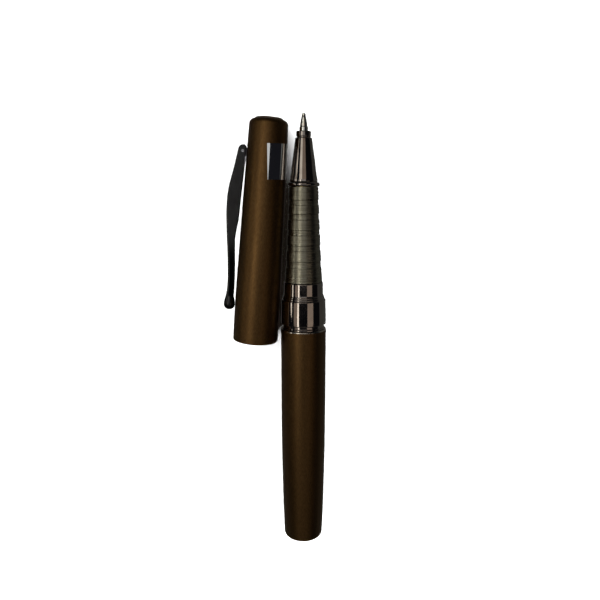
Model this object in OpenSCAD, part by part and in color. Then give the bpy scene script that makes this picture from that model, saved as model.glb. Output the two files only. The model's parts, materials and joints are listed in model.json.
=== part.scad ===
// Metal rollerball pen lying beside its own cap.
// The pen's axis is along Y with the tip towards +Y. The cap lies on the -X side and leans towards the pen.

/* [Pen] */
// Largest radius of the barrel
barrel_r = 6.6; // [6.5:0.05:6.8]
// Length of the barrel from its mouth to its flat tail
barrel_len = 66; // [65:0.1:75]
// Radius of the barrel at its tail
tail_r = 5.85; // [5.4:0.05:6]
// Length of the barrel that keeps its full radius
barrel_straight = 22; // [10:1:40]
// Length of the writing section from the barrel's mouth to the end of the ball
front_len = 60.4; // [60.2:0.1:60.6]
// Length of the refill
refill_len = 110.5; // [110:0.1:111]
// Radius of the refill's tube
refill_r = 2.95; // [2.8:0.05:3]

/* [Section] */
// Where the wide polished band ends and its shoulder starts
band_end = 8.6; // [8:0.1:9]
// Where the grip starts
grip_start = 13.65; // [13:0.05:14]
// Where the grip ends
grip_end = 40.5; // [40:0.1:41]
// Radius of the grip at the barrel's side
grip_r_back = 5.42; // [5.3:0.02:5.5]
// Radius of the grip at the nose's side
grip_r_front = 4.12; // [4:0.02:4.3]
// Depth of the recessed bands turned in the grip
recess_depth = 0.13; // [0.05:0.01:0.2]
// Radius of the bead ring
bead_r = 4.5; // [4.3:0.05:4.6]
// Radius of the nose cone at the bead
nose_r_back = 3.93; // [3.8:0.01:4]
// Radius of the nose cone at its mouth
nose_r_front = 2.3; // [2.2:0.05:2.4]

/* [Cap] */
// Radius of the cap at its mouth
cap_r = 6.55; // [6.5:0.05:6.7]
// Length of the cap without its end disc
cap_len = 62.5; // [62:0.1:64]
// Radius that the cap tapers to just before its rounded closed end
cap_r_end = 5.38; // [5.3:0.02:5.6]
// Length of the cap that keeps its full radius
cap_straight = 10; // [5:1:15]
// Radius of the cap's mouth bore
cap_bore_r = 6; // [5.9:0.05:6.1]
// Sideways distance from the pen's axis to the middle of the cap's mouth
cap_gap_x = 14.2; // [14.2:0.05:16]
// How far the cap's mouth lies behind the barrel's mouth
cap_mouth_back = 3.7; // [0:0.1:6]
// Lean of the cap towards the pen, in degrees
cap_lean = 4.3; // [0:0.1:4.4]

/* [Clip] */
// Width of the clip at its root
clip_w = 3.2; // [3:0.1:3.6]
// Thickness of the clip's sheet metal
clip_t = 0.5; // [0.4:0.05:0.6]
// Radius of the ball at the clip's free end
clip_ball_r = 1.6; // [1.4:0.05:1.7]
// Distance of the clip's ball from the cap's mouth
clip_ball_s = 10.2; // [10:0.1:11]
// Distance of the clip's pin from the cap's mouth
clip_pin_s = 53.6; // [53:0.1:54]
// Radius of the clip's pin
clip_pin_r = 0.4; // [0.3:0.05:0.4]

/* [Hidden] */
// Clearance of a running fit
run_gap = 0.05;
// Clearance between pieces that only pass each other
free_gap = 0.15;
// Clearance left where an end face seats
seat_gap = 0.05;
// Pieces of a large circle, of a small one and of the long curves
round_fn = 96;
ball_fn = 48;
arc_steps = 12;
fillet_steps = 6;

// Barrel: rounding of the tail, inner radii and depths
tail_fillet = 0.9;
tail_taper_end = -(barrel_len - tail_fillet);
bush_seat_r = 5.5;
bush_seat_len = 14;
barrel_bore_r = 4.6;
barrel_bore_end = -62.6;
trim_len = 0.4;
trim_r = barrel_r - 0.12;
bush_front = -1;
bush_back = -13;
spigot_r = 4.85;
bush_bore_r = spigot_r + run_gap;
spigot_back = -7;

// Tail seat and spring
seat_front = -61;
seat_stem_r = 1.5;
seat_stem_front = -57.5;
refill_back = front_len - refill_len;
spring_wire_r = 0.25;
spring_r = 2.1;
spring_turns = 6;
spring_back = seat_front + seat_gap + spring_wire_r;
spring_front = refill_back - seat_gap - spring_wire_r;
spring_sides = 8;
spring_rings_per_turn = 20;

// O-ring
oring_wire_r = 0.24;
oring_y = -0.4;
oring_r = spigot_r + run_gap + oring_wire_r;

// Section ring: groove, wide band, shoulder and small band
lip_r = 6.2;
lip_end = 0.5;
lip_bevel = 0.1;
groove_r = 5.95;
groove_end = 1.4;
band_chamfer = 0.2;
band_r_back = 6.58;
band_r_front = 6.38;
shoulder_end = 10.1;
shoulder_r = 5.68;
shoulder_drop = 0.4;
shoulder_bevel = 0.4;
small_r_front = 5.6;
core_mid_r = 4.5;
core_front_r = 3.5;
core_step = 13.6;
core_front = 43.5;
core_bore_r = refill_r + free_gap;

// Grip: its taper and its grooves, as distances from the barrel's mouth, each with the end of its recessed band
grooves = [[19.7, 17.9], [24.2, 22.7], [28.5, 27.1], [32.9, 31.4], [36.8, 35.4]];
grip_taper_power = 0.85;
groove_w = 0.24;
groove_depth = 0.22;

// Nose
bead_back = grip_end + seat_gap;
bead_front = 41.7;
bead_core_r = 4.1;
nose_back = bead_front;
nose_front = 53.8;
nose_bend = 46.9;
nose_bend_r = nose_r_front + 0.95;
collar_back = nose_front;
collar_front = 55.5;
collar_r = 2.08;
tip_r = 1.2;
nose_bore_r = tip_r + free_gap;
nose_socket_r = core_front_r;
nose_socket_front = core_front;
nose_chamber_front = 49.4;
nose_chamber_r = 2.5;
sleeve_neck_r = 1.9;

// Refill
tube_wall = 0.35;
tube_front = 40;
plug_len = 3;
sleeve_back = 37;
sleeve_front = 49.2;
sleeve_shoulder = 43.2;
reservoir_back = refill_back + plug_len;
reservoir_front = 36.5;
wick_r = 0.4;
wick_front = 55;
tip_back = 45;
tip_cone_start = 56.6;
tip_cone_bend = front_len - 0.9;
ball_r = 0.35;
ball_y = front_len - ball_r;
ball_gap = 0.02;
tip_end_y = front_len - 0.18;
tip_end_r = 0.5;
ink_way_r = 0.12;

// Cap: rounded closed end, inner steps and the pieces inside
cap_fillet = 1.4;
cap_taper_power = 1.15;
cap_taper_end = cap_len - cap_fillet;
disc_r = cap_r_end - cap_fillet - 0.06;
disc_h = 0.45;
cap_bore_end = 59;
cap_mouth_len = 8;
clutch_front = 11.5;
clutch_bore_r = 5.2;
cap_mid_r = 5.5;
cap_mid_end = 14;
cap_inner_r = 4.85;
seal_back = 33;
seal_step = 45.5;
seal_floor = 53;
seal_front = 56.5;
seal_r_wide = 4.25;
seal_r_narrow = 2.9;
screw_r = 1;
screw_back = 54;

// Clip: its side outline as [distance from the mouth, distance from the cap's axis]
clip_outer = [[55.3, 6.9], [55.1, 7.5], [54.5, 7.85], [52.8, 8.15], [48.8, 8.88], [44.7, 9.78], [42.5, 10.12],
    [40.4, 10.3], [37.7, 10.32], [34.9, 10.22], [29.3, 9.8], [23.5, 9.27], [17.7, 8.98], [13.7, 9.1],
    [10.2, 9.35]];
clip_inner = [[10.2, 7.3], [13.7, 7.1], [17.7, 7.1], [23.5, 7.33], [28.8, 7.62], [31.7, 7.36], [34.9, 6.92],
    [40.5, 6.62], [47, 6.23], [52.2, 5.9], [55.3, 5.82]];
clip_pin_u = 6.6;
clip_w_tip = 2.2;
clip_taper_s = [8, 44];
clip_root_s = 57;
clip_end_wall_s = 54.8;
clip_slab_u = 12;
clip_slab_depth = 8;
clip_cut_u = 5;
clip_ball_u = cap_r + seat_gap + clip_ball_r;
boss_w = clip_w - 2 * clip_t - 0.2;
boss_s = [52.2, 54.4];
boss_top_u = 7.15;
leaf_w = 1.6;
leaf_outline = [[52.2, 6.2], [49, 6.5], [46.5, 7.4], [44.8, 8.9], [44.6, 8.8], [46.3, 7.1], [49, 6.25],
    [52.2, 5.5]];

// Plate: its span along the cap and round it, and the small angle it is turned by about one of the cap's radii
plate_s = [46.4, 55.9];
plate_angle = [6, 163];
plate_skew = -4.5;
plate_skew_angle = 30;
plate_t = 0.1;

// Frame: the origin is on the floor, under the middle of everything
min_x = -cap_gap_x + clip_ball_s * sin(cap_lean) - clip_ball_u * cos(cap_lean) - clip_ball_r;
pen_x = -(min_x + barrel_r) / 2;
mouth_y = (barrel_len - front_len) / 2;
cap_x = pen_x - cap_gap_x;
cap_y = mouth_y - cap_mouth_back;

// Radius of the barrel and of the cap at a distance along them, each smooth where its straight part ends
function barrel_at(d) = barrel_r
    - (barrel_r - tail_r) * pow(max(0, d - barrel_straight) / (-tail_taper_end - barrel_straight), 2);
function cap_at(s) = cap_r
    - (cap_r - cap_r_end) * pow(max(0, s - cap_straight) / (cap_taper_end - cap_straight), cap_taper_power);
function grip_at(y) = grip_r_back
    + (grip_r_front - grip_r_back) * pow((y - grip_start) / (grip_end - grip_start), grip_taper_power);
function quarter(r, centre_r, centre_y, side) =
    [for (i = [0:fillet_steps]) let (a = 90 * i / fillet_steps)
        [centre_r + r * cos(a), centre_y + side * r * sin(a)]];

module pen_frame() translate([pen_x, mouth_y, barrel_r]) rotate([-90, 0, 0]) children();
module cap_frame() translate([cap_x, cap_y, cap_r]) rotate([0, 0, -cap_lean]) rotate([-90, 0, 0]) children();
module lathe(points) rotate_extrude($fn = round_fn) polygon(points);
module ring(inner_r, outer_r, from_y, to_y)
    lathe([[inner_r, from_y], [outer_r, from_y], [outer_r, to_y], [inner_r, to_y]]);
module rod(r, from_y, to_y) translate([0, 0, from_y]) cylinder(r = r, h = to_y - from_y, $fn = round_fn);

module barrel_shell() color([0.25, 0.18, 0.1]) pen_frame() difference() {
    lathe(concat(
        [[0, -barrel_len]],
        [for (i = [fillet_steps:-1:1]) quarter(tail_fillet, tail_r - tail_fillet, tail_taper_end, -1)[i]],
        [for (i = [0:arc_steps]) let (d = -tail_taper_end + (barrel_straight + tail_taper_end) * i / arc_steps)
            [barrel_at(d), -d]],
        [[barrel_r, -trim_len], [0, -trim_len]]));
    rod(barrel_bore_r, barrel_bore_end, 1);
    rod(bush_seat_r, -bush_seat_len, 1);
}

module barrel_trim_ring() color([0.6, 0.55, 0.5]) pen_frame()
    lathe([[bush_seat_r, -trim_len], [barrel_r, -trim_len], [trim_r, 0], [bush_seat_r, 0]]);

module thread_bush() color([0.75, 0.6, 0.3]) pen_frame() ring(bush_bore_r, bush_seat_r, bush_back, bush_front);

module tail_spring_seat() color([0.12, 0.12, 0.12]) pen_frame() {
    rod(barrel_bore_r, barrel_bore_end, seat_front);
    rod(seat_stem_r, seat_front, seat_stem_front);
}

function spring_point(i) =
    let (n = spring_turns * spring_rings_per_turn, a = 360 * i / spring_rings_per_turn)
    [spring_r * cos(a), spring_r * sin(a), spring_back + (spring_front - spring_back) * i / n];

module refill_spring() color([0.75, 0.75, 0.78]) pen_frame() {
    n = spring_turns * spring_rings_per_turn;
    points = [for (i = [0:n], k = [0:spring_sides - 1])
        let (p = spring_point(i), turn = 360 * i / spring_rings_per_turn, a = 360 * k / spring_sides,
            out = spring_wire_r * cos(a))
        [p[0] + out * cos(turn), p[1] + out * sin(turn), p[2] + spring_wire_r * sin(a)]];
    sides = [for (i = [0:n - 1], k = [0:spring_sides - 1])
        let (a = i * spring_sides + k, b = i * spring_sides + (k + 1) % spring_sides)
        [a, a + spring_sides, b + spring_sides, b]];
    start_cap = [[for (k = [0:spring_sides - 1]) k]];
    end_cap = [[for (k = [spring_sides - 1:-1:0]) n * spring_sides + k]];
    polyhedron(points, concat(sides, start_cap, end_cap));
}

module section_oring() color([0.05, 0.05, 0.05]) pen_frame()
    rotate_extrude($fn = round_fn) translate([oring_r, oring_y]) circle(r = oring_wire_r, $fn = ball_fn);

module section_core() color([0.75, 0.6, 0.3]) pen_frame() lathe([
    [core_bore_r, spigot_back], [spigot_r, spigot_back], [spigot_r, seat_gap], [core_mid_r, seat_gap],
    [core_mid_r, core_step], [core_front_r, core_step], [core_front_r, core_front], [core_bore_r, core_front]]);

module section_ring() color([0.3, 0.27, 0.26]) pen_frame() lathe([
    [core_mid_r, seat_gap], [lip_r, seat_gap], [lip_r, lip_end], [groove_r, lip_end + lip_bevel],
    [groove_r, groove_end], [band_r_back - band_chamfer, groove_end], [band_r_back, groove_end + band_chamfer],
    [band_r_front, band_end], [shoulder_r + shoulder_drop, band_end + shoulder_bevel],
    [shoulder_r + shoulder_drop, shoulder_end - shoulder_bevel], [shoulder_r, shoulder_end],
    [small_r_front, core_step], [core_mid_r, core_step]]);

module grip_sleeve() color([0.45, 0.43, 0.35]) pen_frame() difference() {
    lathe(concat(
        [[core_front_r, grip_start]],
        [for (i = [0:arc_steps]) let (y = grip_start + (grip_end - grip_start) * i / arc_steps)
            [grip_at(y), y]],
        [[core_front_r, grip_end]]));
    for (g = grooves) {
        ring(grip_at(g[0]) - groove_depth, barrel_r, g[0] - groove_w / 2, g[0] + groove_w / 2);
        ring(grip_at(g[1]) - recess_depth, barrel_r, g[1], g[0]);
    }
}

module bead_ring() color([0.3, 0.27, 0.26]) pen_frame() {
    mid = (bead_back + bead_front) / 2;
    half = (bead_front - bead_back) / 2;
    lathe(concat(
        [[core_front_r, bead_back]],
        [for (i = [0:2 * fillet_steps]) let (a = -90 + 90 * i / fillet_steps)
            [bead_core_r + (bead_r - bead_core_r) * cos(a), mid + half * sin(a)]],
        [[core_front_r, bead_front]]));
}

module nose_cone() color([0.3, 0.27, 0.26]) pen_frame() difference() {
    lathe([[0, nose_back], [nose_r_back, nose_back], [nose_r_back, nose_back + 0.5],
        [nose_bend_r, nose_bend], [nose_r_front, nose_front], [0, nose_front]]);
    rod(nose_socket_r, nose_back - 1, nose_socket_front);
    rod(nose_chamber_r, nose_back - 1, nose_chamber_front);
    rod(nose_bore_r, nose_back, nose_front + 1);
}

module nose_collar() color([0.3, 0.27, 0.26]) pen_frame()
    lathe([[nose_bore_r, collar_back], [collar_r - 0.1, collar_back], [collar_r, collar_back + 0.3],
        [collar_r, collar_front - 0.2], [collar_r - 0.2, collar_front], [nose_bore_r, collar_front]]);

module refill_tube() color([0.7, 0.7, 0.72]) pen_frame()
    ring(refill_r - tube_wall, refill_r, refill_back, tube_front);

module refill_end_plug() color([0.15, 0.15, 0.15]) pen_frame()
    rod(refill_r - tube_wall, refill_back, reservoir_back);

module ink_reservoir() color([0.1, 0.1, 0.2]) pen_frame()
    rod(refill_r - tube_wall, reservoir_back, reservoir_front);

module feed_wick() color([0.85, 0.85, 0.8]) pen_frame() rod(wick_r, reservoir_front, wick_front);

module refill_nose_sleeve() color([0.15, 0.15, 0.15]) pen_frame() lathe([
    [wick_r, sleeve_back], [refill_r - tube_wall, sleeve_back], [refill_r - tube_wall, tube_front],
    [refill_r, tube_front], [refill_r, sleeve_shoulder - 0.8], [nose_chamber_r - free_gap, sleeve_shoulder],
    [sleeve_neck_r, sleeve_front], [tip_r, sleeve_front], [tip_r, tip_back], [wick_r, tip_back]]);

module refill_tip() color([0.85, 0.85, 0.85]) pen_frame() difference() {
    lathe([[0, tip_back], [tip_r, tip_back], [tip_r, tip_cone_start], [tip_r - 0.06, tip_cone_start + 0.2],
        [tip_end_r + 0.12, tip_cone_bend], [tip_end_r, tip_end_y], [0, tip_end_y]]);
    rod(wick_r, tip_back - 1, wick_front);
    rod(ink_way_r, wick_front - 1, ball_y);
    translate([0, 0, ball_y]) sphere(r = ball_r + ball_gap, $fn = ball_fn);
}

module writing_ball() color([0.6, 0.6, 0.62]) pen_frame()
    translate([0, 0, ball_y]) sphere(r = ball_r, $fn = ball_fn);

module cap_outside() lathe(concat(
    [[0, 0], [cap_r - 0.15, 0], [cap_r, 0.2]],
    [for (i = [0:arc_steps]) let (s = cap_straight + (cap_taper_end - cap_straight) * i / arc_steps)
        [cap_at(s), s]],
    [for (i = [1:fillet_steps]) quarter(cap_fillet, cap_r_end - cap_fillet, cap_taper_end, 1)[i]],
    [[0, cap_len]]));

module cap_shell() color([0.25, 0.18, 0.1]) cap_frame() difference() {
    cap_outside();
    rod(cap_bore_r, -1, cap_mouth_len);
    rod(cap_mid_r, 0, cap_mid_end);
    rod(cap_inner_r, 0, cap_bore_end);
    rod(screw_r, cap_bore_end - 1, cap_len + 1);
}

module cap_end_disc() color([0.15, 0.12, 0.1]) cap_frame() difference() {
    lathe([[0, cap_len], [disc_r, cap_len], [disc_r, cap_len + disc_h / 2],
        [disc_r - disc_h / 2, cap_len + disc_h], [0, cap_len + disc_h]]);
    rod(screw_r, cap_len - 1, cap_len + disc_h / 2);
}

module cap_screw() color([0.75, 0.6, 0.3]) cap_frame() rod(screw_r, screw_back, cap_len + disc_h / 2);

module cap_inner_seal() color([0.1, 0.1, 0.1]) cap_frame() difference() {
    rod(cap_inner_r, seal_back, seal_front);
    rod(seal_r_wide, seal_back - 1, seal_step);
    rod(seal_r_narrow, seal_step - 1, seal_floor);
    rod(screw_r, screw_back, seal_front + 1);
}

module cap_clutch() color([0.1, 0.1, 0.1]) cap_frame()
    ring(clutch_bore_r, cap_mid_r, cap_mouth_len, clutch_front);

// Turns an outline of [distance along the cap, distance from its axis] into a slab of the given width
module side_slab(outline, width) rotate([90, 0, 0]) linear_extrude(height = width, center = true)
    polygon([for (p = outline) [-p[1], p[0]]]);

module clip_end() translate([-clip_ball_u, 0, clip_ball_s]) sphere(r = clip_ball_r, $fn = ball_fn);

// Clips a shape to the clip's plan: the full width at the root, narrowing towards the ball
module plan_slab(root_w, tip_w) translate([-clip_slab_u, 0, 0]) rotate([90, 0, 90])
    linear_extrude(height = clip_slab_depth) polygon([
        [-root_w / 2, clip_root_s], [root_w / 2, clip_root_s], [root_w / 2, clip_taper_s[1]],
        [tip_w / 2, clip_taper_s[0]], [-tip_w / 2, clip_taper_s[0]], [-root_w / 2, clip_taper_s[1]]]);

module clip() color([0.12, 0.12, 0.13]) cap_frame() difference() {
    intersection() {
        side_slab(concat(clip_outer, clip_inner), clip_w + 1);
        plan_slab(clip_w, clip_w_tip);
    }
    intersection() {
        side_slab(concat(
            [for (p = clip_outer) [min(p[0], clip_end_wall_s), p[1] - clip_t]],
            [[clip_ball_s, clip_cut_u], [clip_end_wall_s, clip_cut_u]]), clip_w + 1);
        plan_slab(clip_w - 2 * clip_t, clip_w_tip - 2 * clip_t);
    }
    translate([-clip_pin_u, 0, clip_pin_s]) rotate([90, 0, 0])
        cylinder(r = clip_pin_r + run_gap, h = 2 * clip_w, center = true, $fn = ball_fn);
    clip_end();
}

module clip_ball() color([0.12, 0.12, 0.13]) cap_frame() clip_end();

module clip_boss() color([0.12, 0.12, 0.13]) cap_frame() difference() {
    translate([-boss_top_u, -boss_w / 2, boss_s[0]])
        cube([boss_top_u - clip_cut_u, boss_w, boss_s[1] - boss_s[0]]);
    cap_outside();
    translate([-clip_pin_u, 0, clip_pin_s]) rotate([90, 0, 0])
        cylinder(r = clip_pin_r, h = 2 * clip_w, center = true, $fn = ball_fn);
}

module clip_pin() color([0.5, 0.5, 0.5]) cap_frame() translate([-clip_pin_u, 0, clip_pin_s]) rotate([90, 0, 0])
    cylinder(r = clip_pin_r, h = clip_w, center = true, $fn = ball_fn);

module clip_leaf_spring() color([0.75, 0.75, 0.78]) cap_frame() difference() {
    side_slab(leaf_outline, leaf_w);
    cap_outside();
}

// A block round the cap's axis that holds the plate, turned by the plate's skew
module plate_block() {
    middle = (plate_s[0] + plate_s[1]) / 2;
    length = plate_s[1] - plate_s[0];
    translate([0, 0, middle]) rotate([0, 0, plate_skew_angle - 90]) rotate([plate_skew, 0, 0])
        rotate([0, 0, plate_angle[0] - plate_skew_angle]) translate([0, 0, -length / 2])
            rotate_extrude(angle = plate_angle[1] - plate_angle[0], $fn = round_fn)
                translate([cap_inner_r, 0]) square([cap_r - cap_inner_r + 1, length]);
}

module name_plate() color([0.85, 0.85, 0.87]) cap_frame() difference() {
    intersection() {
        lathe(concat(
            [[cap_inner_r, cap_straight]],
            [for (i = [0:arc_steps]) let (s = cap_straight + (cap_taper_end - cap_straight) * i / arc_steps)
                [cap_at(s) + plate_t, s]],
            [[cap_inner_r, cap_taper_end]]));
        plate_block();
    }
    cap_outside();
}

barrel_shell();
barrel_trim_ring();
thread_bush();
tail_spring_seat();
refill_spring();
section_oring();
section_core();
section_ring();
grip_sleeve();
bead_ring();
nose_cone();
nose_collar();
refill_tube();
refill_end_plug();
ink_reservoir();
feed_wick();
refill_nose_sleeve();
refill_tip();
writing_ball();
cap_shell();
cap_end_disc();
cap_screw();
cap_inner_seal();
cap_clutch();
clip();
clip_ball();
clip_boss();
clip_pin();
clip_leaf_spring();
name_plate();
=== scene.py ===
import json
import math

import bmesh
import bpy
from mathutils import Matrix, Quaternion, Vector


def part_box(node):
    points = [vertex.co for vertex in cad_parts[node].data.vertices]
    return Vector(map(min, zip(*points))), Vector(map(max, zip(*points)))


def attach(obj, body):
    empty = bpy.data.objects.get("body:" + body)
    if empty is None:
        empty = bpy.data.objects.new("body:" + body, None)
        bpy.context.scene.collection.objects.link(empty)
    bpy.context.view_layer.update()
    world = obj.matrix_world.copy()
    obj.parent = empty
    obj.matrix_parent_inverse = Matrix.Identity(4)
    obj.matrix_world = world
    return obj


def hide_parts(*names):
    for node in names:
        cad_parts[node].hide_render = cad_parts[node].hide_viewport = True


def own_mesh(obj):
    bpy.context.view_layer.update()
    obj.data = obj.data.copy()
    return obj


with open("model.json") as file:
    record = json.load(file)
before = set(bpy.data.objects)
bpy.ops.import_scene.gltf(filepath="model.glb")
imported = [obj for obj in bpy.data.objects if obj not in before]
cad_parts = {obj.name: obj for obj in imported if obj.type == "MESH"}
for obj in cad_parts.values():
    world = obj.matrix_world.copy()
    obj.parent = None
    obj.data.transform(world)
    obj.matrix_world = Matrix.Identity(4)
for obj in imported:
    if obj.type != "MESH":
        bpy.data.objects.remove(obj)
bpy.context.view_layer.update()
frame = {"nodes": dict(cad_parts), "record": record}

MM = 0.001
SEGMENTS = 192
SHARP_ANGLE = math.radians(35)
CLEAR_BEND = math.radians(5)
LIGHT_HEIGHT = 0.40

# ---------------------------------------------------------------- places, from the frame

mounts = {m["name"]: m for m in frame["record"]["mounts"]}


def middle(node):
    low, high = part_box(node)
    return (low + high) / 2


def local_frame(origin, axis):
    """A frame whose Z runs along a level axis and whose -Y points up."""
    turn = math.atan2(axis.x, axis.y)
    return Matrix.Translation(origin) @ Matrix.Rotation(-turn, 4, "Z") @ Matrix.Rotation(-math.pi / 2, 4, "X")


def radius_of(node):
    low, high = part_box(node)
    return (high.z - low.z) / 2 / MM


def along(node):
    """Where a pen node starts and ends along the pen, in mm from the barrel's mouth."""
    low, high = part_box(node)
    return (low.y - mouth_y) / MM, (high.y - mouth_y) / MM


mouth_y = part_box("barrel_trim_ring")[1].y
pen_centre = middle("barrel_shell")
pen_at = local_frame(Vector((pen_centre.x, mouth_y, pen_centre.z)), Vector((0, 1, 0)))
cap_at = local_frame(Vector(mounts["cap_mouth"]["pos_m"]), -Vector(mounts["cap_mouth"]["axis"]))

# Sizes in mm. Those that a CAD node states are read from it.
BARREL_R = radius_of("barrel_shell")
BARREL_LEN = -along("barrel_shell")[0]
BARREL_STRAIGHT = 22
TAIL_R = 5.85
TAIL_FILLET = 0.9
TRIM_LEN = 0.4
GRIP_START, GRIP_END = along("grip_sleeve")
GRIP_R_BACK = radius_of("grip_sleeve")
GRIP_R_FRONT = 4.12
GRIP_TAPER_POWER = 0.85
GROOVES = ((19.7, 17.9), (24.2, 22.7), (28.5, 27.1), (32.9, 31.4), (36.8, 35.4))
GROOVE_WIDTH = 0.24
GROOVE_DEPTH = 0.2
RECESS = 0.13
CORE_R = 3.5
NOSE_BACK, NOSE_FRONT = along("nose_cone")
COLLAR_FRONT = along("nose_collar")[1]
BALL_R = radius_of("writing_ball")
TIP_TOP = along("writing_ball")[1]
CAP_R = radius_of("cap_shell")
CAP_LEN = 62.5
CAP_STRAIGHT = 10
CAP_R_END = 5.38
CAP_TAPER_POWER = 1.15
CAP_FILLET = 1.4
DISC_H = 0.45
PLATE = (46.4, 55.9)
PLATE_ANGLES = (6, 163)
PLATE_SKEW = math.radians(-4.5)
PLATE_SKEW_ANGLE = 30
PLATE_PROUD = 0.1


def barrel_radius(y):
    t = max(0.0, -y - BARREL_STRAIGHT) / (BARREL_LEN - TAIL_FILLET - BARREL_STRAIGHT)
    return BARREL_R - (BARREL_R - TAIL_R) * t * t


def cap_radius(s):
    t = max(0.0, s - CAP_STRAIGHT) / (CAP_LEN - CAP_FILLET - CAP_STRAIGHT)
    return CAP_R - (CAP_R - CAP_R_END) * t**CAP_TAPER_POWER


def grip_radius(y):
    t = (y - GRIP_START) / (GRIP_END - GRIP_START)
    return GRIP_R_BACK + (GRIP_R_FRONT - GRIP_R_BACK) * max(t, 0.0) ** GRIP_TAPER_POWER


# ---------------------------------------------------------------- mesh helpers


def spread(start, end, count):
    return [start + (end - start) * i / count for i in range(count + 1)]


def softened(outline, radius, steps=4):
    """A closed outline of (r, y) points with its corners rounded. Points on the axis stay as they are."""
    points = []
    for i, (r, y) in enumerate(outline):
        corner = Vector((r, y))
        before = Vector(outline[i - 1])
        after = Vector(outline[(i + 1) % len(outline)])
        to_before, to_after = before - corner, after - corner
        if r < 1e-6 or to_before.length < 1e-6 or to_after.length < 1e-6:
            points.append(corner)
            continue
        bend = math.pi - to_before.angle(to_after)
        if bend < SHARP_ANGLE:
            points.append(corner)
            continue
        cut = min(radius, to_before.length * 0.45, to_after.length * 0.45)
        start = corner + to_before.normalized() * cut
        end = corner + to_after.normalized() * cut
        for t in spread(0, 1, steps):
            points.append(start * (1 - t) ** 2 + corner * 2 * t * (1 - t) + end * t * t)
    return [(p.x, p.y) for p in points]


def supported(outline, reach=0.05):
    """A closed outline with points added beside each clear bend, so that smooth shading stays near it."""
    result = []
    for i, point in enumerate(outline):
        corner = Vector(point)
        to_before = Vector(outline[i - 1]) - corner
        to_after = Vector(outline[(i + 1) % len(outline)]) - corner
        lengths = to_before.length, to_after.length
        bent = min(lengths) > 1e-6 and math.pi - to_before.angle(to_after) > CLEAR_BEND and point[0] > 1e-6
        if bent and lengths[0] > 4 * reach:
            result.append(tuple(corner + to_before.normalized() * reach))
        result.append(point)
        if bent and lengths[1] > 4 * reach:
            result.append(tuple(corner + to_after.normalized() * reach))
    return result


def finish_mesh(bm, name, place):
    bmesh.ops.remove_doubles(bm, verts=bm.verts, dist=1e-7)
    bmesh.ops.recalc_face_normals(bm, faces=bm.faces)
    for face in bm.faces:
        face.smooth = True
    for edge in bm.edges:
        if len(edge.link_faces) == 2 and edge.calc_face_angle(0) > SHARP_ANGLE:
            edge.smooth = False
    mesh = bpy.data.meshes.new(name)
    bm.to_mesh(mesh)
    bm.free()
    piece = bpy.data.objects.new(name, mesh)
    piece.matrix_world = place
    bpy.context.scene.collection.objects.link(piece)
    return piece


def lathe(name, outline, place, segments=SEGMENTS):
    """Turns a closed outline of (r, y) points, in mm, round the local Z axis."""
    bm = bmesh.new()
    rings = []
    for r, y in supported(outline):
        if r < 1e-6:
            rings.append([bm.verts.new((0, 0, y * MM))])
            continue
        rings.append([
            bm.verts.new((r * MM * math.cos(a), r * MM * math.sin(a), y * MM))
            for a in (2 * math.pi * k / segments for k in range(segments))
        ])
    for one, other in zip(rings, rings[1:] + rings[:1]):
        for k in range(segments):
            corners = [one[k % len(one)], one[(k + 1) % len(one)]]
            corners += [other[(k + 1) % len(other)], other[k % len(other)]]
            face = list(dict.fromkeys(corners))
            if len(face) > 2:
                bm.faces.new(face)
    return finish_mesh(bm, name, place)


def loft(name, sections, place):
    """A closed skin through closed sections of equal length, in mm, with both ends filled."""
    bm = bmesh.new()
    rows = [[bm.verts.new(Vector(p) * MM) for p in section] for section in sections]
    for one, other in zip(rows, rows[1:]):
        for k in range(len(one)):
            after = (k + 1) % len(one)
            bm.faces.new((one[k], one[after], other[after], other[k]))
    bm.faces.new(rows[0])
    bm.faces.new(rows[-1][::-1])
    return finish_mesh(bm, name, place)


def add(piece, body, slot, *nodes):
    """Puts a finished piece on its body, gives it the material named by its slot and hides the CAD nodes it
    stands for.
    """
    piece.data.materials.append(MATERIALS[slot])
    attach(piece, body)
    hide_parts(*nodes)
    return piece


# ---------------------------------------------------------------- materials


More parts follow.
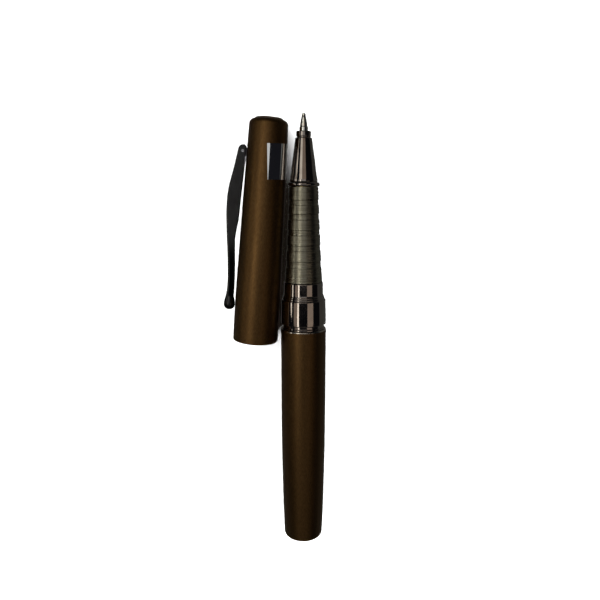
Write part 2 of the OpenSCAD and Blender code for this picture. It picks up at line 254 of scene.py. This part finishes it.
class Surface:
    """A Principled material with helpers for patterns placed in the piece's own coordinates."""

    def __init__(self, name, metallic, roughness, coat=0.0, coat_roughness=0.03):
        self.material = bpy.data.materials.new(name)
        self.material.use_nodes = True
        self.tree = self.material.node_tree
        self.shader = self.tree.nodes["Principled BSDF"]
        self.shader.inputs["Metallic"].default_value = metallic
        self.shader.inputs["Roughness"].default_value = roughness
        self.shader.inputs["Coat Weight"].default_value = coat
        self.shader.inputs["Coat Roughness"].default_value = coat_roughness
        self.place = self.tree.nodes.new("ShaderNodeTexCoord").outputs["Object"]
        self.height = None

    def link(self, output, socket):
        self.tree.links.new(output, socket)

    def noise(self, size, stretch=(1, 1, 1), detail=3.0):
        """Noise whose features are about size mm across, drawn out along an axis by stretch."""
        mapping = self.tree.nodes.new("ShaderNodeMapping")
        mapping.inputs["Scale"].default_value = [1 / (size * MM * s) for s in stretch]
        texture = self.tree.nodes.new("ShaderNodeTexNoise")
        texture.inputs["Scale"].default_value = 1.0
        texture.inputs["Detail"].default_value = detail
        self.link(self.place, mapping.inputs["Vector"])
        self.link(mapping.outputs["Vector"], texture.inputs["Vector"])
        return texture.outputs["Fac"]

    def colour(self, fac, dark, light, low=0.3, high=0.7):
        ramp = self.tree.nodes.new("ShaderNodeValToRGB")
        ramp.color_ramp.elements[0].position = low
        ramp.color_ramp.elements[0].color = (*dark, 1)
        ramp.color_ramp.elements[1].position = high
        ramp.color_ramp.elements[1].color = (*light, 1)
        self.link(fac, ramp.inputs["Fac"])
        self.link(ramp.outputs["Color"], self.shader.inputs["Base Color"])

    def roughness(self, fac, smooth, rough):
        spread_node = self.tree.nodes.new("ShaderNodeMapRange")
        spread_node.inputs["From Min"].default_value = 0.3
        spread_node.inputs["From Max"].default_value = 0.7
        spread_node.inputs["To Min"].default_value = smooth
        spread_node.inputs["To Max"].default_value = rough
        self.link(fac, spread_node.inputs["Value"])
        self.link(spread_node.outputs["Result"], self.shader.inputs["Roughness"])

    def bump(self, fac, depth, strength=1.0):
        """Adds relief of the given depth in mm on top of any bump added before."""
        node = self.tree.nodes.new("ShaderNodeBump")
        node.inputs["Distance"].default_value = depth * MM
        node.inputs["Strength"].default_value = strength
        self.link(fac, node.inputs["Height"])
        if self.height:
            self.link(self.height, node.inputs["Normal"])
        self.height = node.outputs["Normal"]
        self.link(self.height, self.shader.inputs["Normal"])


def brown_lacquer():
    s = Surface("brown_lacquer", 1.0, 0.44)
    s.colour(s.noise(0.25, (1, 1, 3)), (0.105, 0.056, 0.020), (0.145, 0.080, 0.030))
    s.roughness(s.noise(1.6, (1, 1, 6)), 0.41, 0.47)
    s.bump(s.noise(0.09), 0.003, 0.5)
    s.bump(s.noise(0.05, (1, 1, 40)), 0.002, 0.4)
    return s.material


def gunmetal():
    s = Surface("gunmetal", 1.0, 0.07)
    s.colour(s.noise(3), (0.24, 0.21, 0.19), (0.30, 0.265, 0.24))
    s.roughness(s.noise(0.8, (1, 1, 0.2)), 0.05, 0.12)
    s.bump(s.noise(0.12, (30, 30, 1)), 0.0006, 0.5)
    return s.material


def pewter():
    s = Surface("pewter", 1.0, 0.3)
    s.colour(s.noise(0.35, (20, 20, 1)), (0.18, 0.166, 0.125), (0.27, 0.255, 0.195))
    s.roughness(s.noise(0.5, (12, 12, 1)), 0.26, 0.38)
    s.bump(s.noise(0.16, (60, 60, 1), 2.0), 0.008, 0.7)
    return s.material


def bright_trim():
    s = Surface("bright_trim", 1.0, 0.2)
    s.colour(s.noise(0.5), (0.42, 0.38, 0.33), (0.55, 0.5, 0.44))
    s.bump(s.noise(0.1, (30, 30, 1)), 0.001, 0.5)
    return s.material


def brass():
    s = Surface("brass", 1.0, 0.25)
    s.colour(s.noise(1.2), (0.62, 0.45, 0.20), (0.74, 0.57, 0.29))
    s.roughness(s.noise(0.3, (20, 20, 1)), 0.2, 0.35)
    s.bump(s.noise(0.2, (40, 40, 1)), 0.004, 0.6)
    return s.material


def black_plastic():
    s = Surface("black_plastic", 0.0, 0.45)
    s.colour(s.noise(0.8), (0.012, 0.012, 0.013), (0.025, 0.025, 0.027))
    s.roughness(s.noise(0.4), 0.38, 0.55)
    s.bump(s.noise(0.15), 0.006, 0.5)
    return s.material


def spring_steel():
    s = Surface("spring_steel", 1.0, 0.22)
    s.colour(s.noise(0.6), (0.5, 0.5, 0.52), (0.68, 0.68, 0.7))
    s.bump(s.noise(0.08), 0.002, 0.5)
    return s.material


def seal_rubber():
    s = Surface("seal_rubber", 0.0, 0.7)
    s.colour(s.noise(0.5), (0.010, 0.010, 0.010), (0.022, 0.022, 0.021))
    s.bump(s.noise(0.1), 0.01, 0.6)
    return s.material


def refill_metal():
    s = Surface("refill_metal", 1.0, 0.28)
    s.colour(s.noise(0.9, (1, 1, 8)), (0.55, 0.55, 0.56), (0.7, 0.7, 0.71))
    s.roughness(s.noise(0.4, (1, 1, 10)), 0.22, 0.36)
    s.bump(s.noise(0.1, (1, 1, 20)), 0.002, 0.5)
    return s.material


def ink_fibre():
    s = Surface("ink_fibre", 0.0, 0.9)
    s.colour(s.noise(0.1, (1, 1, 20)), (0.012, 0.012, 0.04), (0.05, 0.05, 0.12))
    s.bump(s.noise(0.08, (1, 1, 20)), 0.02, 0.8)
    return s.material


def tip_steel():
    s = Surface("tip_steel", 1.0, 0.16)
    s.colour(s.noise(0.4, (8, 8, 1)), (0.70, 0.69, 0.63), (0.86, 0.85, 0.80))
    s.roughness(s.noise(0.2, (10, 10, 1)), 0.12, 0.24)
    s.bump(s.noise(0.06, (30, 30, 1)), 0.001, 0.5)
    return s.material


def dark_disc():
    s = Surface("dark_disc", 0.7, 0.3, coat=0.3, coat_roughness=0.1)
    s.colour(s.noise(0.3), (0.05, 0.037, 0.025), (0.085, 0.062, 0.042))
    s.bump(s.noise(0.1), 0.002, 0.5)
    return s.material


def clip_metal():
    s = Surface("clip_metal", 1.0, 0.12)
    s.colour(s.noise(2.5), (0.022, 0.021, 0.021), (0.036, 0.035, 0.034))
    s.roughness(s.noise(0.6, (1, 1, 5)), 0.08, 0.14)
    s.bump(s.noise(0.1, (1, 1, 20)), 0.0008, 0.5)
    return s.material


def mirror_plate():
    s = Surface("mirror_plate", 1.0, 0.05)
    s.colour(s.noise(4), (0.80, 0.815, 0.81), (0.88, 0.89, 0.885))
    s.roughness(s.noise(0.5, (1, 1, 6)), 0.03, 0.09)
    s.bump(s.noise(0.3, (1, 1, 12)), 0.0005, 0.4)
    return s.material


MATERIALS = {
    make.__name__: make()
    for make in (
        brown_lacquer, gunmetal, pewter, bright_trim, brass, black_plastic, spring_steel, seal_rubber,
        refill_metal, ink_fibre, tip_steel, dark_disc, clip_metal, mirror_plate,
    )
}


# ---------------------------------------------------------------- the pen


def barrel():
    bore_end = 62.6
    fillet = [
        (TAIL_R + TAIL_FILLET * (math.cos(a) - 1), TAIL_FILLET * (1 - math.sin(a)) - BARREL_LEN)
        for a in spread(math.pi / 2, 0, 10)
    ]
    side = [(barrel_radius(y), y) for y in spread(-BARREL_LEN + TAIL_FILLET, -TRIM_LEN, 60)]
    inside = [(5.5, -TRIM_LEN), (5.5, -14), (4.6, -14), (4.6, -bore_end), (0, -bore_end)]
    outline = [(0, -BARREL_LEN)] + fillet + side[1:] + inside
    add(lathe("barrel_tube", softened(outline, 0.1), pen_at), "barrel", "brown_lacquer", "barrel_shell")


def trim_ring():
    outline = [(5.5, -TRIM_LEN), (BARREL_R, -TRIM_LEN), (BARREL_R - 0.03, -0.16), (BARREL_R - 0.14, 0)]
    outline += [(5.5, 0)]
    add(lathe("barrel_lip", softened(outline, 0.06), pen_at), "barrel", "bright_trim", "barrel_trim_ring")


def section_ring():
    back = along("section_ring")[0]
    outline = [
        (4.5, back), (6.2, back), (6.2, 0.5), (5.95, 0.62), (5.95, 1.4), (6.44, 1.4), (6.58, 1.56),
        (6.49, 5.0), (6.38, 8.45), (6.3, 8.6), (6.02, 8.68), (6.1, 8.95), (6.02, 9.2), (5.88, 9.28),
        (5.95, 9.5), (5.86, 9.78), (5.72, 9.86), (5.68, 10.1), (5.6, 13.4), (5.5, 13.6), (4.5, 13.6),
    ]
    add(lathe("section_band", softened(outline, 0.12, 5), pen_at), "section", "gunmetal", "section_ring")


def grip():
    """The turned grip: five cut grooves, a shallow band behind each, and fine tool marks over all."""

    def surface(y):
        radius = grip_radius(y)
        for groove, band_end in GROOVES:
            if band_end < y < groove:
                radius -= RECESS * min(1, (y - band_end) / 0.08)
            gap = abs(y - groove) / (GROOVE_WIDTH / 2)
            if gap < 1:
                radius = min(radius, grip_radius(groove) - GROOVE_DEPTH * math.sqrt(1 - gap * gap))
        return radius - 0.008 * (1 - math.cos(2 * math.pi * y / 0.42)) / 2

    outer = [(surface(y), y) for y in spread(GRIP_START + 0.12, GRIP_END - 0.12, 760)]
    outline = [(CORE_R, GRIP_START), (GRIP_R_BACK - 0.1, GRIP_START)] + outer
    outline += [(GRIP_R_FRONT - 0.1, GRIP_END), (CORE_R, GRIP_END)]
    add(lathe("grip", outline, pen_at, 128), "section", "pewter", "grip_sleeve")


def bead():
    back, front = along("bead_ring")
    centre, half = (back + front) / 2, (front - back) / 2
    core, top = 4.05, radius_of("bead_ring")
    round_part = [
        (core + (top - core) * math.cos(a), centre + half * math.sin(a))
        for a in spread(-math.pi / 2, math.pi / 2, 24)
    ]
    outline = [(CORE_R, back)] + round_part + [(CORE_R, front)]
    add(lathe("grip_bead", outline, pen_at), "section", "gunmetal", "bead_ring")


def nose():
    outline = [
        (CORE_R, NOSE_BACK), (3.78, NOSE_BACK), (3.93, NOSE_BACK + 0.25), (3.88, NOSE_BACK + 0.8),
        (3.55, 44.3), (3.25, 46.9), (2.9, 49.4), (2.6, 51.5), (2.34, NOSE_FRONT - 0.2), (2.1, NOSE_FRONT),
        (1.35, NOSE_FRONT), (1.35, 49.4), (2.5, 49.4), (2.5, 43.5), (CORE_R, 43.5),
    ]
    add(lathe("nose", softened(outline, 0.1), pen_at), "section", "gunmetal", "nose_cone")


def collar():
    top = radius_of("nose_collar")
    outline = [
        (1.35, NOSE_FRONT), (1.9, NOSE_FRONT), (1.9, NOSE_FRONT + 0.22), (top, NOSE_FRONT + 0.34),
        (top, COLLAR_FRONT - 0.15), (top - 0.15, COLLAR_FRONT), (1.35, COLLAR_FRONT),
    ]
    add(lathe("nose_mouth_collar", softened(outline, 0.08), pen_at), "section", "gunmetal", "nose_collar")


def tip():
    end = TIP_TOP - 0.18
    outline = [
        (0, 45), (1.2, 45), (1.2, 56.5), (1.14, 56.7), (1.08, 56.75), (0.98, 57.6), (0.82, 58.6),
        (0.64, 59.4), (0.58, 59.6), (0.56, 59.9), (0.5, end), (0.335, end), (0.4, end - 0.1),
        (0.4, end - 0.24), (0.36, end - 0.4), (0.2, end - 0.56), (0, end - 0.6),
    ]
    add(lathe("refill_point", softened(outline, 0.06), pen_at, 96), "refill", "tip_steel", "refill_tip")


def writing_ball():
    centre = TIP_TOP - BALL_R
    outline = [
        (BALL_R * math.cos(a), centre + BALL_R * math.sin(a)) for a in spread(-math.pi / 2, math.pi / 2, 24)
    ]
    add(lathe("rolling_ball", outline, pen_at, 48), "ball", "tip_steel", "writing_ball")


def spring():
    """The refill's coil spring in the tail."""
    low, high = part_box("refill_spring")
    wire, coil, turns, steps = 0.25, 2.1, 6, 36
    back, front = (low.y - mouth_y) / MM + wire, (high.y - mouth_y) / MM - wire
    sections = []
    for a, y in zip(spread(0, 2 * math.pi * turns, turns * steps), spread(back, front, turns * steps)):
        around = [(coil + wire * math.cos(b), wire * math.sin(b)) for b in spread(0, 2 * math.pi, 12)[:-1]]
        sections.append([(r * math.cos(a), r * math.sin(a), y + rise) for r, rise in around])
    piece = add(loft("coil_spring", sections, pen_at), "barrel", "spring_steel", "refill_spring")
    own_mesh(piece)


# ---------------------------------------------------------------- the cap


def cap_tube():
    start = CAP_LEN - CAP_FILLET
    side = [(cap_radius(s), s) for s in spread(0.25, start, 70)]
    fillet = [
        (CAP_R_END - CAP_FILLET + CAP_FILLET * math.cos(a), start + CAP_FILLET * math.sin(a))
        for a in spread(0, math.pi / 2, 12)
    ]
    outline = [(6.0, 0.1), (6.1, 0), (CAP_R - 0.2, 0)] + side + fillet[1:] + [(1.0, CAP_LEN), (1.0, 59)]
    outline += [(4.85, 59), (4.85, 14), (5.5, 14), (5.5, 8), (6.0, 8)]
    add(lathe("cap_tube", softened(outline, 0.08), cap_at), "cap", "brown_lacquer", "cap_shell")


def cap_disc():
    edge = CAP_R_END - CAP_FILLET - 0.06
    base, top = CAP_LEN, CAP_LEN + DISC_H
    outline = [(1.0, base), (edge, base), (edge, base + 0.2), (edge - 0.3, top), (0, top)]
    outline += [(0, base + DISC_H / 2), (1.0, base + DISC_H / 2)]
    add(lathe("cap_top_disc", softened(outline, 0.12), cap_at), "cap", "dark_disc", "cap_end_disc")


CLIP_OUTER = (
    (55.3, 6.5), (55.22, 6.95), (55.0, 7.4), (54.6, 7.72), (54.0, 7.92), (52.8, 8.15), (48.8, 8.88),
    (44.7, 9.78), (42.5, 10.12), (40.4, 10.3), (37.7, 10.32), (34.9, 10.22), (29.3, 9.8), (23.5, 9.27),
    (17.7, 8.98), (13.7, 9.08), (11.2, 9.3),
)
CLIP_INNER = (
    (55.3, 6.1), (55.1, 5.9), (54.6, 5.82), (52.2, 5.9), (47.0, 6.23), (40.5, 6.62), (34.9, 6.92),
    (31.7, 7.36), (28.8, 7.62), (23.5, 7.33), (17.7, 7.1), (13.7, 7.1), (11.2, 7.2),
)
CLIP_SHEET = 0.5
CLIP_WIDTH = (3.2, 2.2)
CLIP_TAPER = (44, 8)


def smooth_curve(points, at):
    """A smooth curve through (place, value) points, whose places run from high to low."""
    i = max(k for k in range(len(points) - 1) if at <= points[k][0] or k == 0)
    (x0, v0), (x1, v1) = points[i], points[i + 1]
    before, after = points[max(i - 1, 0)], points[min(i + 2, len(points) - 1)]
    slope0 = (v1 - before[1]) / (x1 - before[0])
    slope1 = (after[1] - v0) / (after[0] - x0)
    t = min(max((at - x0) / (x1 - x0), 0.0), 1.0)
    h = x1 - x0
    return (
        v0 * (2 * t**3 - 3 * t**2 + 1) + slope0 * h * (t**3 - 2 * t**2 + t)
        + v1 * (3 * t**2 - 2 * t**3) + slope1 * h * (t**3 - t**2)
    )


def clip_section(s):
    """The folded channel at a distance s from the cap's mouth: a closed loop in (x, y, z), x to the pen."""
    top, low = smooth_curve(CLIP_OUTER, s), smooth_curve(CLIP_INNER, s)
    t = min(max((CLIP_TAPER[0] - s) / (CLIP_TAPER[0] - CLIP_TAPER[1]), 0.0), 1.0)
    half = (CLIP_WIDTH[0] + (CLIP_WIDTH[1] - CLIP_WIDTH[0]) * t) / 2
    bend = min(0.5, (top - low) * 0.4)
    sheet = CLIP_SHEET
    roof = max(top - sheet, low + 0.02)
    inner_bend = min(0.2, (roof - low) * 0.5)

    def arc(y, u, radius, start, end):
        return [(u + radius * math.sin(a), y + radius * math.cos(a)) for a in spread(start, end, 6)]

    quarter = math.pi / 2
    loop = [(low, half - 0.1), (low + 0.1, half)]
    loop += arc(half - bend, top - bend, bend, 0, quarter)
    loop += arc(-half + bend, top - bend, bend, quarter, 2 * quarter)
    loop += [(low + 0.1, -half), (low, -half + 0.1), (low, -half + sheet - 0.1), (low + 0.06, -half + sheet)]
    loop += arc(-half + sheet + inner_bend, roof - inner_bend, inner_bend, 2 * quarter, quarter)
    loop += arc(half - sheet - inner_bend, roof - inner_bend, inner_bend, quarter, 0)
    loop += [(low + 0.06, half - sheet), (low, half - sheet + 0.1)]
    return [(-u, y, s) for u, y in loop]


def clip():
    stations = spread(55.3, 54.5, 10) + spread(54.3, 11.2, 110)
    add(loft("clip_arm", [clip_section(s) for s in stations], cap_at), "clip", "clip_metal", "clip")


def clip_end():
    """The rounded foot of the clip: a drop whose neck runs into the arm."""
    centre_u = 8.2
    outline = [
        (0, 8.62), (0.5, 8.68), (0.95, 8.88), (1.32, 9.24), (1.54, 9.72), (1.6, 10.25), (1.56, 10.85),
        (1.43, 11.5), (1.27, 12.2), (1.12, 13.0), (1.0, 13.9), (0.8, 14.3), (0, 14.4),
    ]
    place = cap_at @ Matrix.Translation((-centre_u * MM, 0, 0))
    add(lathe("clip_foot", outline, place, 96), "clip", "clip_metal", "clip_ball")


def plate_point(s, angle, proud):
    """A point of the plate, which is turned a little about the cap's radius at PLATE_SKEW_ANGLE."""
    off = math.radians(angle - PLATE_SKEW_ANGLE)
    slide = (s - sum(PLATE) / 2) * math.tan(PLATE_SKEW) * math.cos(off)
    turned = math.radians(angle - 90) + slide / CAP_R_END
    at = s - CAP_R_END * math.sin(off) * math.tan(PLATE_SKEW)
    radius = cap_radius(at) + proud
    return Vector((radius * math.cos(turned), radius * math.sin(turned), at)) * MM


def plate():
    """The blank mirror plate, wrapped round the cap from its top towards the pen."""
    bm = bmesh.new()
    lengths = spread(PLATE[0], PLATE[1], 12)
    angles = spread(PLATE_ANGLES[0], PLATE_ANGLES[1], 96)
    skins = [
        [[bm.verts.new(plate_point(s, angle, proud)) for angle in angles] for s in lengths]
        for proud in (PLATE_PROUD, -0.03)
    ]
    rows, cols = len(lengths), len(angles)
    for skin in skins:
        for i in range(rows - 1):
            for k in range(cols - 1):
                bm.faces.new((skin[i][k], skin[i][k + 1], skin[i + 1][k + 1], skin[i + 1][k]))
    outer, inner = skins
    for i in (0, rows - 1):
        for k in range(cols - 1):
            bm.faces.new((outer[i][k], outer[i][k + 1], inner[i][k + 1], inner[i][k]))
    for k in (0, cols - 1):
        for i in range(rows - 1):
            bm.faces.new((outer[i][k], outer[i + 1][k], inner[i + 1][k], inner[i][k]))
    add(finish_mesh(bm, "blank_plate", cap_at), "cap", "mirror_plate", "name_plate")


for make in (barrel, trim_ring, section_ring, grip, bead, nose, collar, tip, writing_ball, spring):
    make()
for make in (cap_tube, cap_disc, clip, clip_end, plate):
    make()

# The CAD nodes that stay in view keep their shape and get their own material.
slots = {s["node"]: s["material_slot"] for s in frame["record"]["subparts"]}
for node, piece in frame["nodes"].items():
    piece.data.materials.clear()
    piece.data.materials.append(MATERIALS[slots[node]])

# ---------------------------------------------------------------- stage, light and camera


def floor():
    size = 3.0
    bm = bmesh.new()
    bmesh.ops.create_grid(bm, x_segments=8, y_segments=8, size=size)
    ground = finish_mesh(bm, "floor", Matrix.Translation((0, 0, -0.0001)))
    material = bpy.data.materials.new("floor_white")
    material.use_nodes = True
    shader = material.node_tree.nodes["Principled BSDF"]
    shader.inputs["Base Color"].default_value = (0.9, 0.9, 0.9, 1)
    shader.inputs["Roughness"].default_value = 0.9
    shader.inputs["Specular IOR Level"].default_value = 0.0
    ground.data.materials.append(material)
    ground.visible_glossy = False


def softbox(name, place, aim, size, turn, brightness, colour):
    """A rectangular softbox of the given size in metres, turned about its own beam by an angle in degrees."""
    light = bpy.data.lights.new(name, "AREA")
    light.shape = "RECTANGLE"
    light.size, light.size_y = size
    light.energy = brightness * math.pi * size[0] * size[1]
    light.color = colour
    lamp = bpy.data.objects.new(name, light)
    lamp.location = place
    lamp.rotation_mode = "QUATERNION"
    beam = (Vector(aim) - Vector(place)).to_track_quat("-Z", "Y")
    lamp.rotation_quaternion = beam @ Quaternion((0, 0, 1), math.radians(turn))
    bpy.context.scene.collection.objects.link(lamp)
    lamp.visible_camera = False
    return lamp


def overhead(name, x, y, brightness, colour):
    """A softbox facing down from LIGHT_HEIGHT over the given ranges. It lights reflections only."""
    middle_x, middle_y = sum(x) / 2, sum(y) / 2
    size = (x[1] - x[0], y[1] - y[0])
    place, aim = (middle_x, middle_y, LIGHT_HEIGHT), (middle_x, middle_y, 0)
    softbox(name, place, aim, size, 0, brightness, colour).visible_diffuse = False


def lights():
    cream, warm, white = (1, 0.97, 0.88), (1, 0.84, 0.70), (1, 1, 1)
    overhead("nose_stripe", (-0.30, -0.09), (0.145, 0.36), 1.5, cream)
    overhead("nose_middle", (-0.09, 0.15), (0.145, 0.30), 0.45, warm)
    overhead("grip_stripe", (-0.23, -0.17), (-0.14, 0.13), 4.0, cream)
    overhead("grip_wide", (-0.42, 0.13), (-0.02, 0.135), 0.55, white)
    overhead("edge_left", (-1.0, -0.75), (-0.15, 0.35), 2.5, cream)
    overhead("ring_left", (-0.46, -0.23), (-0.14, -0.02), 0.5, warm)
    overhead("ring_right", (0.15, 0.48), (-0.14, -0.02), 0.6, warm)
    overhead("back_wide", (-0.34, 0.28), (-0.50, -0.15), 0.2, cream)
    for side in (-1, 1):
        lamp = softbox("floor_light", (side * 0.6, 0, 0.6), (0, 0, 0), (1.6, 0.5), 0, 9.5, white)
        lamp.visible_glossy = False


def surroundings():
    """Dark above, so that polished metal shows only the softboxes, and dim grey below the horizon."""
    world = bpy.data.worlds.new("studio")
    world.use_nodes = True
    bpy.context.scene.world = world
    tree = world.node_tree
    direction = tree.nodes.new("ShaderNodeTexCoord").outputs["Generated"]
    split = tree.nodes.new("ShaderNodeSeparateXYZ")
    ramp = tree.nodes.new("ShaderNodeValToRGB")
    ramp.color_ramp.elements[0].position = 0.0
    ramp.color_ramp.elements[0].color = (0.10, 0.10, 0.095, 1)
    ramp.color_ramp.elements[1].position = 0.02
    ramp.color_ramp.elements[1].color = (0.008, 0.008, 0.010, 1)
    tree.links.new(direction, split.inputs["Vector"])
    tree.links.new(split.outputs["Z"], ramp.inputs["Fac"])
    tree.links.new(ramp.outputs["Color"], tree.nodes["Background"].inputs["Color"])


def camera():
    """A close camera above the pen's tip half, tipped a little towards the tail."""
    height, ahead, aside = 160.36, 38.23, -1.02
    tip_down = math.radians(10.6)
    lens = bpy.data.cameras.new("camera")
    lens.sensor_width = 36
    lens.lens = 36 * 561 / 600
    lens.clip_start, lens.clip_end = 0.005, 20
    view = bpy.data.objects.new("camera", lens)
    view.location = pen_at.translation + Vector((aside, ahead, height)) * MM
    view.rotation_euler = (-tip_down, 0, 0)
    bpy.context.scene.collection.objects.link(view)
    bpy.context.scene.camera = view


floor()
lights()
surroundings()
camera()
bpy.context.scene.view_settings.view_transform = "Standard"
